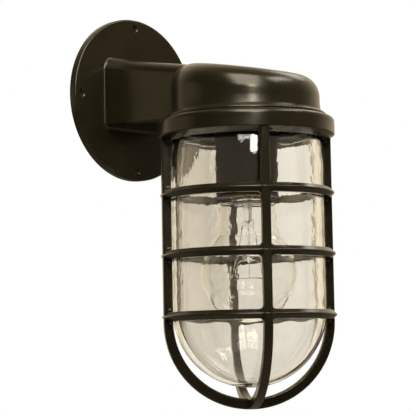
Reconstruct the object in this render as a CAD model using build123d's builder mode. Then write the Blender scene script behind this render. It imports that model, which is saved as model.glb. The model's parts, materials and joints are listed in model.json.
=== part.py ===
from build123d import *
import os
from math import acos, cos, degrees, radians, sin, tan

# Outdoor wall lamp: a hollow cast bracket with a round wall plate, a box arm and a sloping hood, a
# clear glass jar under the hood, a cast guard that screws onto the hood and clamps the jar, and a
# medium screw lamp holder with its bulb inside.
# Sizes are in millimetres. The origin is the centre of the wall plate's back face: the wall is the
# plane Y = 0, the lamp stands out from it towards -Y, and +Z is up.

os.makedirs("parts", exist_ok=True)

# Clearances
running_clearance = 0.3
seating_gap = 0.2
fit_clearance = 0.1

# Wall plate
plate_radius = 64.0
plate_thickness = 6.0
plate_edge_round = 1.6
mounting_hole_inset = 7.0
mounting_hole_radius = 2.4
mounting_sink_radius = 3.2
mounting_hole_count = 4
gasket_inset = 14.0
gasket_width = 6.0
gasket_thickness = 2.0

# Arm
casting_wall = 4.0
lamp_reach = 123.0
arm_half_width = 33.0
arm_floor_height = -23.3
arm_floor_angle = 2.6
arm_top_step = 1.0
arm_top_round = 8.0
arm_floor_round = 2.0
arm_foot_round = 3.0
arm_neck_round = 4.0
hollow_round = 3.0

# Hood
hood_radius = 55.0
hood_height = 9.6
hood_slope_angle = 10.1
hood_edge_round = 17.5
hood_flare = 0.6
hood_flare_height = 8.0
seat_height = -28.0
flange_overhang = 4.7
flange_rim = 1.9
flange_fall = 2.7
flange_round = 0.8
spigot_step = 3.8
spigot_length = 7.0
seal_thickness = 2.0

# Glass jar
globe_flange_clearance = 0.5
globe_flange_width = 2.0
globe_flange_thickness = 4.0
globe_flange_round = 1.2
globe_wall = 6.0
globe_length = 188.5
cushion_thickness = 1.2

# Guard
collar_wall = 6.3
collar_round = 4.0
collar_edge_round = 0.8
collar_bevel = 3.1
collar_lip = 1.8
collar_lip_clearance = 0.5
bar_count = 4
bar_turn = -35.2
bar_gap = 0.6
bar_depth = 6.7
bar_width = 6.4
bar_round = 1.4
ring_count = 3
ring_pitch = 44.65
ring_below_spring = 4.4
ring_half_height = 3.3
ring_flat_depth = 3.6
ring_proud = 0.8
ring_tip_round = 1.0
web_round = 3.0
dome_gap = 8.0
dome_depth = 7.8

# Lamp holder
strap_height = -18.0
strap_thickness = 1.5
strap_width = 18.0
strap_screw_spacing = 66.0
strap_end = 6.0
boss_radius = 5.0
screw_shank_radius = 2.0
screw_head_radius = 3.8
screw_head_height = 2.4
screw_length = 9.0
nipple_radius = 5.0
nipple_bore_radius = 3.4
nipple_above_strap = 6.5
nut_across_flats = 15.0
nut_height = 4.0
cup_radius = 23.0
cup_length = 68.7
cup_wall = 1.6
cup_top_thickness = 3.0
cup_top_round = 2.5
cup_hub_radius = 9.0
cup_hub_depth = 5.0
cup_groove_height = 2.2
cup_groove_width = 0.9
cup_groove_depth = 0.5
liner_setback = 0.7
liner_chamber_radius = 15.0
liner_chamber_depth = 27.0
liner_web = 10.0
shell_inner_radius = 13.7
shell_wall = 0.7
shell_setback = 1.5
shell_hole_radius = 7.5
riser_radius = 1.5
live_riser_offset = 5.0
neutral_riser_offset = 9.0
riser_above_web = 2.0
contact_strip = 0.8
contact_width = 6.0

# Bulb
bulb_radius = 35.3
bulb_length = 114.6
bulb_glass = 0.8
bulb_neck_radius = 12.4
bulb_shoulder_radius = 20.4
bulb_shoulder_fall = 1.2
bulb_shoulder_round = 2.6
bulb_waist_radius = 22.4
bulb_waist_round = 8.0
base_radius = 13.1
base_wall = 0.35
base_length = 19.0
base_insertion = 24.0
tip_radius = 4.8
tip_height = 1.5
insulator_height = 3.2
insulator_rim = 1.2
stem_flare_height = 7.0
stem_radius = 3.2
stem_length = 26.0
press_width = 10.0
press_thickness = 3.2
press_height = 4.4
arbor_radius = 1.1
arbor_length = 25.0
button_radius = 2.2
filament_drop = 13.9
filament_radius = 13.0
filament_sweep = 210.0
filament_gap_turn = 44.0
filament_wire = 0.45
support_wire = 0.35
support_count = 3

# Terminal block and leads
block_width = 34.0
block_depth = 14.0
block_height = 13.0
block_back = -22.0
block_foot = -13.0
block_pole_pitch = 10.0
block_pole_height = 5.0
block_tunnel_radius = 1.5
block_well_radius = 1.9
block_screw_radius = 1.5
block_pad_radius = 3.0
block_screw_grip = 5.0
block_screw_head_radius = 2.6
block_screw_head_height = 1.8
clamp_screw_radius = 1.7
clamp_screw_length = 4.6
clamp_screw_pitch = 7.0
lead_radius = 1.1
lead_spacing = 1.7
lead_waist = 6.0
lead_crest = 0.5
lead_below_hub = 4.0
lead_splay = 9.0
earth_lead_run = 4.0
lug_lead_run = 3.0
earth_boss_y = -58.0
earth_boss_top = -15.5
lug_radius = 4.0
lug_thickness = 0.8
lug_barrel_radius = 1.9
lug_barrel_length = 4.5
lug_reach = 4.5
earth_screw_length = 5.0

# Worked-out places
lamp_y = -lamp_reach
lamp_axis = Axis((0, lamp_y, 0), (0, 0, 1))
lamp_plane = Plane(origin=(0, lamp_y, 0), x_dir=(1, 0, 0), z_dir=(0, -1, 0))
top_slope = radians(hood_slope_angle)
floor_slope = radians(arm_floor_angle)
top_plane = Plane(
    origin=(0, lamp_y, hood_height), x_dir=(1, 0, 0), z_dir=(0, -sin(top_slope), cos(top_slope))
)
floor_plane = Plane(
    origin=(0, -plate_thickness, arm_floor_height),
    x_dir=(1, 0, 0),
    z_dir=(0, -sin(floor_slope), cos(floor_slope)),
)
mounting_circle_radius = plate_radius - mounting_hole_inset
gasket_outer_radius = plate_radius - gasket_inset
gasket_inner_radius = gasket_outer_radius - gasket_width
rim_top = seat_height + flange_rim
flange_top = rim_top + flange_fall
spigot_radius = hood_radius + spigot_step
spigot_foot = seat_height - spigot_length
hood_bore_radius = hood_radius - casting_wall
collar_bore_radius = spigot_radius + running_clearance
globe_flange_radius = collar_bore_radius - globe_flange_clearance
globe_radius = globe_flange_radius - globe_flange_width
globe_top = spigot_foot - seal_thickness - seating_gap
globe_flange_foot = globe_top - globe_flange_thickness
globe_bottom = globe_top - globe_length
globe_spring = globe_bottom + globe_radius
cushion_foot = globe_flange_foot - cushion_thickness
lip_top = cushion_foot - seating_gap
collar_top = seat_height - seating_gap
collar_foot = lip_top - collar_lip
collar_radius = collar_bore_radius + collar_wall
lip_radius = globe_radius + collar_lip_clearance
bar_inner_radius = globe_radius + bar_gap
bar_outer_radius = bar_inner_radius + bar_depth
lowest_ring = globe_spring - ring_below_spring
cup_foot = strap_height - cup_length
cup_bore_radius = cup_radius - cup_wall
liner_top = strap_height - cup_top_thickness - seating_gap
liner_foot = cup_foot + liner_setback
liner_radius = cup_bore_radius - fit_clearance
web_top = liner_top - liner_chamber_depth
web_foot = web_top - liner_web
shell_radius = shell_inner_radius + shell_wall
bulb_tip = cup_foot + base_insertion
bulb_bottom = bulb_tip - bulb_length
bulb_centre = bulb_bottom + bulb_radius
insulator_top = bulb_tip - tip_height - seating_gap
base_top = insulator_top - insulator_height
base_foot = base_top - base_length
block_front = block_back - block_depth
block_middle = (block_back + block_front) / 2
pole_height = block_foot + block_pole_height


def arm_height(y, plane_origin, slope):
    """Height at y of a plane that falls towards the front."""
    return plane_origin + tan(slope) * y


def corner_bends(points):
    """Bend radius at each inner point: 0.45 of the shorter run over the tangent of half the turn."""
    vectors = [Vector(*point) for point in points]
    bends = []
    for before, here, after in zip(vectors, vectors[1:], vectors[2:]):
        half_turn = radians((here - before).get_angle(after - here)) / 2
        shorter = min((here - before).length, (after - here).length)
        bends.append(0.45 * shorter / tan(half_turn))
    return bends


def wire_along(points, radius):
    """Round wire along straight runs joined by tangent arcs."""
    with BuildPart() as wire:
        with BuildLine() as route:
            FilletPolyline(*points, radius=corner_bends(points))
        with BuildSketch(Plane(origin=route.line @ 0, z_dir=route.line % 0)):
            Circle(radius)
        sweep()
    return wire.part


def hood_block(radius, sink, edge_round, foot):
    """Upright round block whose top is the sloping plane sunk by sink, with a rounded top edge."""
    with BuildPart() as block:
        with BuildSketch(Plane.XY.offset(foot)):
            with Locations((0, lamp_y)):
                Circle(radius)
        extrude(amount=hood_height - foot + radius)
        split(bisect_by=top_plane.offset(-sink), keep=Keep.BOTTOM)
        fillet(block.faces().sort_by(Axis.Z)[-1].edges(), radius=edge_round)
    return block.part


def arm_block(half_width, sink, top_round, floor_round, back):
    """Box arm from back to the lamp axis, its walls sunk by sink, with rounded long edges."""
    depth = hood_height - arm_floor_height + lamp_reach
    with BuildPart() as block:
        with BuildSketch(Plane.XY.offset(-depth)):
            with Locations((0, back)):
                Rectangle(2 * half_width, back - lamp_y, align=(Align.CENTER, Align.MAX))
        extrude(amount=2 * depth)
        split(bisect_by=top_plane.offset(-arm_top_step - sink), keep=Keep.BOTTOM)
        split(bisect_by=floor_plane.offset(sink), keep=Keep.TOP)
        top_edges = block.faces().sort_by(Axis.Z)[-1].edges().filter_by(Axis.X, reverse=True)
        floor_edges = block.faces().sort_by(Axis.Z)[0].edges().filter_by(Axis.X, reverse=True)
        fillet(top_edges, radius=top_round)
        fillet(floor_edges, radius=floor_round)
    return block.part


def pan_screw(shank_radius, length, head_radius, head_height):
    """Screw with a domed head above the plane Z = 0 and its shank below it."""
    with BuildPart() as screw:
        with BuildSketch(Plane.XZ):
            with BuildLine():
                Polyline(
                    (0, head_height),
                    (0, -length),
                    (shank_radius, -length),
                    (shank_radius, 0),
                    (head_radius, 0),
                    (head_radius, head_height / 3),
                )
                TangentArc((0, head_height), (head_radius, head_height / 3), tangent=(1, 0))
            make_face()
        revolve(axis=Axis.Z)
    return screw.part


# Bracket: plate, arm and hood in one hollow casting
hood_outside = hood_block(hood_radius, 0, hood_edge_round, seat_height - lamp_reach)
hood_inside = hood_block(hood_bore_radius, casting_wall, hood_edge_round - casting_wall, spigot_foot - 1)
arm_outside = arm_block(arm_half_width, 0, arm_top_round, arm_floor_round, -plate_thickness / 2)
arm_inside = arm_block(arm_half_width - casting_wall, casting_wall, hollow_round, hollow_round, 1)

with BuildPart() as neck:
    add(hood_outside)
    add(arm_outside)
    fillet(new_edges(hood_outside, arm_outside, combined=neck.part), radius=arm_neck_round)
    split(bisect_by=Plane.XY.offset(seat_height), keep=Keep.TOP)

strap_top = strap_height + strap_thickness
boss_top = hood_height - casting_wall / 2
strap_screw_sides = (-strap_screw_spacing / 2, strap_screw_spacing / 2)
block_screw_places = [(side * block_pole_pitch / 2, block_middle) for side in (-1, 1)]
floor_middle = casting_wall / 2

with BuildPart() as wall_bracket:
    with BuildSketch(Plane.XZ):
        Circle(plate_radius)
    extrude(amount=plate_thickness)
    fillet(wall_bracket.faces().sort_by(Axis.Y)[0].edges(), radius=plate_edge_round)
    add(neck.part)
    foot_edges = wall_bracket.edges().filter_by_position(
        Axis.Y, -plate_thickness - 0.01, -plate_thickness + 0.01
    )
    fillet(foot_edges.filter_by(lambda edge: edge.bounding_box().size.X < 2.1 * arm_half_width), arm_foot_round)
    with BuildSketch(lamp_plane) as flange_section:
        with BuildLine():
            flare_start = (hood_radius - seating_gap / 10, flange_top + hood_flare_height)
            flare_end = (hood_radius + hood_flare, flange_top)
            Polyline(
                flare_start,
                (hood_bore_radius, flange_top + hood_flare_height),
                (hood_bore_radius, spigot_foot),
                (spigot_radius, spigot_foot),
                (spigot_radius, seat_height),
                (hood_radius + flange_overhang, seat_height),
                (hood_radius + flange_overhang, rim_top),
                flare_end,
            )
            TangentArc(flare_start, flare_end, tangent=(0, -1))
        make_face()
        fillet(flange_section.vertices().group_by(Axis.X)[-1], radius=flange_round)
    revolve(axis=lamp_axis)
    add(hood_inside, mode=Mode.SUBTRACT)
    add(arm_inside, mode=Mode.SUBTRACT)
    with BuildSketch(Plane.XY.offset(strap_top)):
        with Locations(*[(x, lamp_y) for x in strap_screw_sides]):
            Circle(boss_radius)
    extrude(amount=boss_top - strap_top)
    for x, y in block_screw_places:
        pad_foot = arm_height(y + plate_thickness, arm_floor_height, floor_slope) + floor_middle
        with BuildSketch(Plane.XY.offset(pad_foot)):
            with Locations((x, y)):
                Circle(block_pad_radius)
        extrude(amount=block_foot - pad_foot)
    earth_foot = arm_height(earth_boss_y + plate_thickness, arm_floor_height, floor_slope) + floor_middle
    with BuildSketch(Plane.XY.offset(earth_foot)):
        with Locations((0, earth_boss_y)):
            Circle(lug_radius)
    extrude(amount=earth_boss_top - earth_foot)
    with Locations(*[(x, lamp_y, strap_top + screw_length) for x in strap_screw_sides]):
        Hole(screw_shank_radius + fit_clearance, depth=screw_length)
    with Locations(*[(x, y, block_foot) for x, y in block_screw_places]):
        Hole(block_screw_radius + fit_clearance, depth=block_screw_grip + fit_clearance)
    with Locations((0, earth_boss_y, earth_boss_top)):
        Hole(screw_shank_radius + fit_clearance, depth=earth_screw_length)
    with BuildSketch(Plane.XZ):
        Circle(gasket_outer_radius)
        Circle(gasket_inner_radius, mode=Mode.SUBTRACT)
    extrude(amount=gasket_thickness, mode=Mode.SUBTRACT)
    with Locations(Plane(origin=(0, -plate_thickness, 0), x_dir=(1, 0, 0), z_dir=(0, -1, 0))):
        with PolarLocations(mounting_circle_radius, mounting_hole_count):
            CounterSinkHole(mounting_hole_radius, mounting_sink_radius)
wall_bracket.part.label = "wall_bracket"
export_step(wall_bracket.part, "parts/wall_bracket.step")

with BuildPart() as wall_gasket:
    with BuildSketch(Plane.XZ):
        Circle(gasket_outer_radius - fit_clearance)
        Circle(gasket_inner_radius + fit_clearance, mode=Mode.SUBTRACT)
    extrude(amount=gasket_thickness)
wall_gasket.part.label = "wall_gasket"
export_step(wall_gasket.part, "parts/wall_gasket.step")

with BuildPart() as head_seal:
    with BuildSketch(Plane.XY.offset(spigot_foot)):
        with Locations((0, lamp_y)):
            Circle(globe_flange_radius)
            Circle(hood_bore_radius, mode=Mode.SUBTRACT)
    extrude(amount=-seal_thickness)
head_seal.part.label = "head_seal"
export_step(head_seal.part, "parts/head_seal.step")

# Glass jar: flange, straight wall and round end
globe_bore_radius = globe_radius - globe_wall
with BuildPart() as glass_globe:
    with BuildSketch(lamp_plane) as globe_section:
        with BuildLine():
            Polyline(
                (globe_bore_radius, globe_spring),
                (globe_bore_radius, globe_top),
                (globe_flange_radius, globe_top),
                (globe_flange_radius, globe_flange_foot),
                (globe_radius, globe_flange_foot),
                (globe_radius, globe_spring),
            )
            CenterArc((0, globe_spring), globe_radius, 0, -90)
            Line((0, globe_bottom), (0, globe_bottom + globe_wall))
            CenterArc((0, globe_spring), globe_bore_radius, -90, 90)
        make_face()
        fillet(globe_section.vertices().group_by(Axis.X)[-1], radius=globe_flange_round)
    revolve(axis=lamp_axis)
glass_globe.part.label = "glass_globe"
export_step(glass_globe.part, "parts/glass_globe.step")

with BuildPart() as globe_cushion:
    with BuildSketch(Plane.XY.offset(globe_flange_foot)):
        with Locations((0, lamp_y)):
            Circle(globe_flange_radius)
            Circle(lip_radius, mode=Mode.SUBTRACT)
    extrude(amount=-cushion_thickness)
globe_cushion.part.label = "globe_cushion"
export_step(globe_cushion.part, "parts/globe_cushion.step")

# Guard: collar, bars that run on into the dome, rings and the rounded webs in the corners of its
# windows. A bar and its webs are drawn about the Z axis and then set round the lamp's axis. Each
# bar ends on the two planes that halve the angles to its neighbours, so the bars meet in a mitre.
ring_heights = [lowest_ring + ring_pitch * step for step in range(ring_count)]
dome_inner_foot = globe_bottom - dome_gap
dome_outer_foot = dome_inner_foot - dome_depth
bar_top = collar_foot + collar_bevel
mitre_angle = radians(180 / bar_count)

with BuildPart() as guard_bar:
    with BuildSketch(Plane.YZ):
        for radius, foot, mode in (
            (bar_outer_radius, dome_outer_foot, Mode.ADD),
            (bar_inner_radius, dome_inner_foot, Mode.SUBTRACT),
        ):
            with Locations((0, foot + radius)):
                Circle(radius, mode=mode)
                Rectangle(2 * radius, bar_top - foot - radius, align=(Align.CENTER, Align.MIN), mode=mode)
    extrude(amount=bar_width / 2, both=True)
    side_faces = guard_bar.faces().filter_by(Axis.X)
    fillet(side_faces.edges().filter_by(Axis.Y, reverse=True), radius=bar_round)
    for side in (-1, 1):
        mitre_plane = Plane(origin=(0, 0, 0), z_dir=(side * cos(mitre_angle), -sin(mitre_angle), 0))
        split(bisect_by=mitre_plane, keep=Keep.TOP)

bevel_slope = collar_bevel / (collar_radius - bar_inner_radius)
web_faces = [(collar_foot + bevel_slope * ring_flat_depth - bar_round / 2, -1)]
web_faces += [(height + up * ring_half_height, up) for height in ring_heights for up in (-1, 1)]
web_side = web_round + bar_round / 2
with BuildPart() as window_webs:
    with BuildSketch(Plane.XZ.offset(bar_inner_radius + bar_round)):
        for face_height, up in web_faces:
            for side in (-1, 1):
                round_middle = (side * (bar_width / 2 + web_round), face_height + up * web_round)
                with Locations(round_middle):
                    Rectangle(
                        web_side,
                        web_side,
                        align=(Align.MAX if side > 0 else Align.MIN, Align.MAX if up > 0 else Align.MIN),
                    )
                    Circle(web_round, mode=Mode.SUBTRACT)
    extrude(amount=ring_flat_depth - bar_round)

with BuildPart() as cage_guard:
    with BuildSketch(lamp_plane) as collar_section:
        with BuildLine():
            Polyline(
                (lip_radius, collar_foot),
                (bar_inner_radius, collar_foot),
                (collar_radius, collar_foot + collar_bevel),
                (collar_radius, collar_top),
                (collar_bore_radius, collar_top),
                (collar_bore_radius, lip_top),
                (lip_radius, lip_top),
                close=True,
            )
        make_face()
        for corner, bend in ((0, collar_edge_round), (-1, collar_round)):
            fillet(collar_section.vertices().group_by(Axis.X)[-1].sort_by(Axis.Y)[corner], radius=bend)
    revolve(axis=lamp_axis)
    for ring_height in ring_heights:
        with BuildSketch(lamp_plane) as ring_section:
            with BuildLine():
                Polyline(
                    (bar_inner_radius, ring_height - ring_half_height),
                    (bar_inner_radius + ring_flat_depth, ring_height - ring_half_height),
                    (bar_outer_radius + ring_proud, ring_height),
                    (bar_inner_radius + ring_flat_depth, ring_height + ring_half_height),
                    (bar_inner_radius, ring_height + ring_half_height),
                    close=True,
                )
            make_face()
            fillet(ring_section.vertices().group_by(Axis.X)[-1], radius=ring_tip_round)
        revolve(axis=lamp_axis)
    with Locations((0, lamp_y)):
        with PolarLocations(0, bar_count, start_angle=bar_turn):
            add(guard_bar.part)
            add(window_webs.part)
    with BuildSketch(Plane.XY.offset(lip_top)):
        with Locations((0, lamp_y)):
            Circle(collar_bore_radius)
    extrude(amount=collar_top - lip_top, mode=Mode.SUBTRACT)
cage_guard.part.label = "cage_guard"
export_step(cage_guard.part, "parts/cage_guard.step")

# Lamp holder: strap, screws, nipple, nut, cup, liner and contacts
with BuildPart() as socket_strap:
    with BuildSketch(Plane.XY.offset(strap_height)) as strap_outline:
        with Locations((0, lamp_y)):
            Rectangle(strap_screw_spacing + 2 * strap_end, strap_width)
            fillet(strap_outline.vertices(), radius=strap_end)
            Circle(nipple_radius + fit_clearance, mode=Mode.SUBTRACT)
            with GridLocations(strap_screw_spacing, 1, 2, 1):
                Circle(screw_shank_radius + fit_clearance, mode=Mode.SUBTRACT)
    extrude(amount=strap_thickness)
socket_strap.part.label = "socket_strap"
export_step(socket_strap.part, "parts/socket_strap.step")

strap_screw = pan_screw(screw_shank_radius, screw_length, screw_head_radius, screw_head_height)
with BuildPart() as strap_screws:
    with Locations(*[Location((x, lamp_y, strap_height), (180, 0, 0)) for x in strap_screw_sides]):
        add(strap_screw)
strap_screws.part.label = "strap_screws"
export_step(strap_screws.part, "parts/strap_screws.step")

hub_foot = strap_height - cup_top_thickness - cup_hub_depth
with BuildPart() as socket_nipple:
    with BuildSketch(Plane.XY.offset(hub_foot)):
        with Locations((0, lamp_y)):
            Circle(nipple_radius)
            Circle(nipple_bore_radius, mode=Mode.SUBTRACT)
    extrude(amount=strap_top + nipple_above_strap - hub_foot)
socket_nipple.part.label = "socket_nipple"
export_step(socket_nipple.part, "parts/socket_nipple.step")

with BuildPart() as nipple_nut:
    with BuildSketch(Plane.XY.offset(strap_top)):
        with Locations((0, lamp_y)):
            RegularPolygon(nut_across_flats / 2, 6, major_radius=False)
            Circle(nipple_radius + fit_clearance, mode=Mode.SUBTRACT)
    extrude(amount=nut_height)
nipple_nut.part.label = "nipple_nut"
export_step(nipple_nut.part, "parts/nipple_nut.step")

cup_ceiling = strap_height - cup_top_thickness
groove_foot = cup_foot + cup_groove_height
with BuildPart() as socket_cup:
    with BuildSketch(lamp_plane):
        with BuildLine():
            FilletPolyline(
                (nipple_radius + fit_clearance, hub_foot),
                (nipple_radius + fit_clearance, strap_height),
                (cup_radius, strap_height),
                (cup_radius, groove_foot + cup_groove_width),
                (cup_radius - cup_groove_depth, groove_foot + cup_groove_width),
                (cup_radius - cup_groove_depth, groove_foot),
                (cup_radius, groove_foot),
                (cup_radius, cup_foot),
                (cup_bore_radius, cup_foot),
                (cup_bore_radius, cup_ceiling),
                (cup_hub_radius, cup_ceiling),
                (cup_hub_radius, hub_foot),
                radius=[0, cup_top_round, 0, 0, 0, 0, 0, 0, 0, 0, 0, 0],
                close=True,
            )
        make_face()
    revolve(axis=lamp_axis)
socket_cup.part.label = "socket_cup"
export_step(socket_cup.part, "parts/socket_cup.step")

socket_bore_radius = shell_radius + fit_clearance
with BuildPart() as socket_liner:
    with BuildSketch(lamp_plane):
        with BuildLine():
            Polyline(
                (0, web_foot),
                (socket_bore_radius, web_foot),
                (socket_bore_radius, liner_foot),
                (liner_radius, liner_foot),
                (liner_radius, liner_top),
                (liner_chamber_radius, liner_top),
                (liner_chamber_radius, web_top),
                (0, web_top),
                close=True,
            )
        make_face()
    revolve(axis=lamp_axis)
    with Locations((live_riser_offset, lamp_y, web_top), (-neutral_riser_offset, lamp_y, web_top)):
        Hole(riser_radius + fit_clearance, depth=liner_web)
socket_liner.part.label = "socket_liner"
export_step(socket_liner.part, "parts/socket_liner.step")

riser_top = web_top + riser_above_web
with BuildPart() as screw_shell:
    with BuildSketch(lamp_plane):
        with BuildLine():
            Polyline(
                (shell_hole_radius, web_foot),
                (shell_radius, web_foot),
                (shell_radius, cup_foot + shell_setback),
                (shell_inner_radius, cup_foot + shell_setback),
                (shell_inner_radius, web_foot - shell_wall),
                (shell_hole_radius, web_foot - shell_wall),
                close=True,
            )
        make_face()
    revolve(axis=lamp_axis)
    with BuildSketch(Plane.XY.offset(web_foot - shell_wall / 2)):
        with Locations((-neutral_riser_offset, lamp_y)):
            Circle(riser_radius)
    extrude(amount=riser_top - web_foot + shell_wall / 2)
screw_shell.part.label = "screw_shell"
export_step(screw_shell.part, "parts/screw_shell.step")

# Centre contact: a strip under the liner's web, bent back to a springy point over the bulb's tip
strip_middle = web_foot - contact_strip / 2
contact_point = bulb_tip + seating_gap + contact_strip
strip_end = live_riser_offset + riser_radius
with BuildPart() as centre_contact:
    with BuildSketch(lamp_plane):
        with BuildLine():
            FilletPolyline(
                (strip_end, strip_middle),
                (-live_riser_offset, strip_middle),
                (-live_riser_offset, (strip_middle + contact_point) / 2),
                (0, contact_point),
                (live_riser_offset / 2, contact_point + contact_strip),
                radius=contact_strip,
            )
        trace(line_width=contact_strip)
    extrude(amount=contact_width / 2, both=True)
    with BuildSketch(Plane.XY.offset(strip_middle)):
        with Locations((live_riser_offset, lamp_y)):
            Circle(riser_radius)
    extrude(amount=riser_top - strip_middle)
centre_contact.part.label = "centre_contact"
export_step(centre_contact.part, "parts/centre_contact.step")

# Terminal block in the arm, with its clamp screws and fixing screws
with BuildPart() as terminal_block:
    with BuildSketch(Plane.XY.offset(block_foot)):
        with Locations((0, block_middle)):
            Rectangle(block_width, block_depth)
    extrude(amount=block_height)
    with Locations(Plane(origin=(0, block_back, pole_height), x_dir=(1, 0, 0), z_dir=(0, 1, 0))):
        with GridLocations(block_pole_pitch, 1, 3, 1):
            Hole(block_tunnel_radius, depth=block_depth)
    with Locations((0, block_middle, block_foot + block_height)):
        with GridLocations(block_pole_pitch, clamp_screw_pitch, 3, 2):
            Hole(block_well_radius, depth=block_height - block_pole_height)
        with GridLocations(block_pole_pitch, 1, 2, 1):
            Hole(block_screw_radius + fit_clearance, depth=block_height)
terminal_block.part.label = "terminal_block"
export_step(terminal_block.part, "parts/terminal_block.step")

clamp_foot = pole_height + lead_radius + fit_clearance
with BuildPart() as terminal_screws:
    with BuildSketch(Plane.XY.offset(clamp_foot)):
        with Locations((0, block_middle)):
            with GridLocations(block_pole_pitch, clamp_screw_pitch, 3, 2):
                Circle(clamp_screw_radius)
    extrude(amount=clamp_screw_length)
terminal_screws.part.label = "terminal_screws"
export_step(terminal_screws.part, "parts/terminal_screws.step")

block_screw = pan_screw(
    block_screw_radius, block_height + block_screw_grip, block_screw_head_radius, block_screw_head_height
)
with BuildPart() as block_screws:
    with Locations((0, block_middle, block_foot + block_height)):
        with GridLocations(block_pole_pitch, 1, 2, 1):
            add(block_screw)
block_screws.part.label = "block_screws"
export_step(block_screws.part, "parts/block_screws.step")

# Leads: from the block through the arm and hood, down the nipple to the holder's risers
lead_run = lamp_y - block_front
lead_rise = lead_crest - pole_height
chamber_turn = hub_foot - lead_below_hub
lead_routes = {
    "live_lead": (1, live_riser_offset),
    "neutral_lead": (-1, neutral_riser_offset),
}
for lead_name, (side, riser_offset) in lead_routes.items():
    lead = wire_along(
        [
            (side * block_pole_pitch, block_middle, pole_height),
            (side * block_pole_pitch, block_front + 0.23 * lead_run, pole_height),
            (side * lead_waist, block_front + 0.55 * lead_run, pole_height + 0.4 * lead_rise),
            (side * lead_spacing, block_front + 0.8 * lead_run, pole_height + 0.94 * lead_rise),
            (side * lead_spacing, lamp_y, lead_crest),
            (side * lead_spacing, lamp_y, chamber_turn),
            (side * riser_offset, lamp_y, chamber_turn - lead_splay),
            (side * riser_offset, lamp_y, riser_top),
        ],
        lead_radius,
    )
    lead.label = lead_name
    export_step(lead, f"parts/{lead_name}.step")

lug_top = earth_boss_top + lug_thickness
barrel_height = earth_boss_top + lug_barrel_radius
barrel_front = earth_boss_y + lug_reach
earth_lead = wire_along(
    [
        (0, block_middle, pole_height),
        (0, block_front - earth_lead_run, pole_height),
        (0, barrel_front + lug_barrel_length + lug_lead_run, barrel_height),
        (0, barrel_front + fit_clearance, barrel_height),
    ],
    lead_radius,
)
earth_lead.label = "earth_lead"
export_step(earth_lead, "parts/earth_lead.step")

with BuildPart() as earth_lug:
    with BuildSketch(Plane.XY.offset(earth_boss_top)):
        with Locations((0, earth_boss_y)):
            Circle(lug_radius)
            Rectangle(2 * lug_barrel_radius, lug_reach + lug_barrel_length, align=(Align.CENTER, Align.MIN))
            Circle(screw_shank_radius + fit_clearance, mode=Mode.SUBTRACT)
    extrude(amount=lug_thickness)
    with BuildSketch(Plane(origin=(0, barrel_front, barrel_height), x_dir=(1, 0, 0), z_dir=(0, 1, 0))):
        Circle(lug_barrel_radius)
    extrude(amount=lug_barrel_length)
    with BuildSketch(Plane(origin=(0, barrel_front, barrel_height), x_dir=(1, 0, 0), z_dir=(0, 1, 0))):
        Circle(lead_radius + fit_clearance)
    extrude(amount=lug_barrel_length, mode=Mode.SUBTRACT)
earth_lug.part.label = "earth_lug"
export_step(earth_lug.part, "parts/earth_lug.step")

earth_screw_form = pan_screw(
    screw_shank_radius, earth_screw_length, block_screw_head_radius, block_screw_head_height
)
with BuildPart() as earth_screw:
    with Locations((0, earth_boss_y, lug_top)):
        add(earth_screw_form)
earth_screw.part.label = "earth_screw"
export_step(earth_screw.part, "parts/earth_screw.step")

# Bulb: tip, insulator, screw base, envelope, stem, leads, supports and filament
with BuildPart() as bulb_contact:
    with BuildSketch(lamp_plane) as tip_section:
        with Locations((0, bulb_tip)):
            Rectangle(tip_radius, tip_height, align=(Align.MIN, Align.MAX))
        fillet(tip_section.vertices().group_by(Axis.X)[-1].sort_by(Axis.Y)[-1], radius=tip_height / 2)
    revolve(axis=lamp_axis)
bulb_contact.part.label = "bulb_contact"
export_step(bulb_contact.part, "parts/bulb_contact.step")

base_bore_radius = base_radius - base_wall
with BuildPart() as bulb_insulator:
    with BuildSketch(lamp_plane):
        with BuildLine():
            Polyline(
                (0, insulator_top),
                (tip_radius, insulator_top),
                (base_bore_radius - fit_clearance, base_top),
                (base_bore_radius - fit_clearance, base_top - insulator_rim),
                (0, base_top - insulator_rim),
                close=True,
            )
        make_face()
    revolve(axis=lamp_axis)
bulb_insulator.part.label = "bulb_insulator"
export_step(bulb_insulator.part, "parts/bulb_insulator.step")

with BuildPart() as bulb_base:
    with BuildSketch(Plane.XY.offset(base_foot)):
        with Locations((0, lamp_y)):
            Circle(base_radius)
            Circle(base_bore_radius, mode=Mode.SUBTRACT)
    extrude(amount=base_length)
bulb_base.part.label = "bulb_base"
export_step(bulb_base.part, "parts/bulb_base.step")

# Envelope: a neck in the base, a flat shoulder, a slightly tapered body and a ball, drawn as one
# outline with rounded corners and hollowed from the neck's open end
neck_top = base_foot + base_length / 2
shoulder_height = cup_foot - fit_clearance - bulb_shoulder_round
waist_turn = degrees(acos(bulb_waist_radius / bulb_radius))
waist_height = bulb_centre + bulb_radius * sin(radians(waist_turn))
with BuildPart() as bulb_envelope:
    with BuildSketch(lamp_plane) as envelope_section:
        with BuildLine():
            Polyline(
                (0, bulb_bottom),
                (0, neck_top),
                (bulb_neck_radius, neck_top),
                (bulb_neck_radius, shoulder_height),
                (bulb_shoulder_radius, shoulder_height - bulb_shoulder_fall),
                (bulb_waist_radius, waist_height),
            )
            CenterArc((0, bulb_centre), bulb_radius, waist_turn, -90 - waist_turn)
        make_face()
        for corner, bend in ((3, bulb_shoulder_round), (2, bulb_shoulder_round), (1, bulb_waist_round)):
            fillet(envelope_section.vertices().sort_by(Axis.Y)[corner], radius=bend)
    revolve(axis=lamp_axis)
    neck_end = bulb_envelope.faces().filter_by(Axis.Z).sort_by(Axis.Z)[-1]
    offset(amount=-bulb_glass, openings=neck_end)
bulb_envelope.part.label = "bulb_envelope"
export_step(bulb_envelope.part, "parts/bulb_envelope.step")

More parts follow.
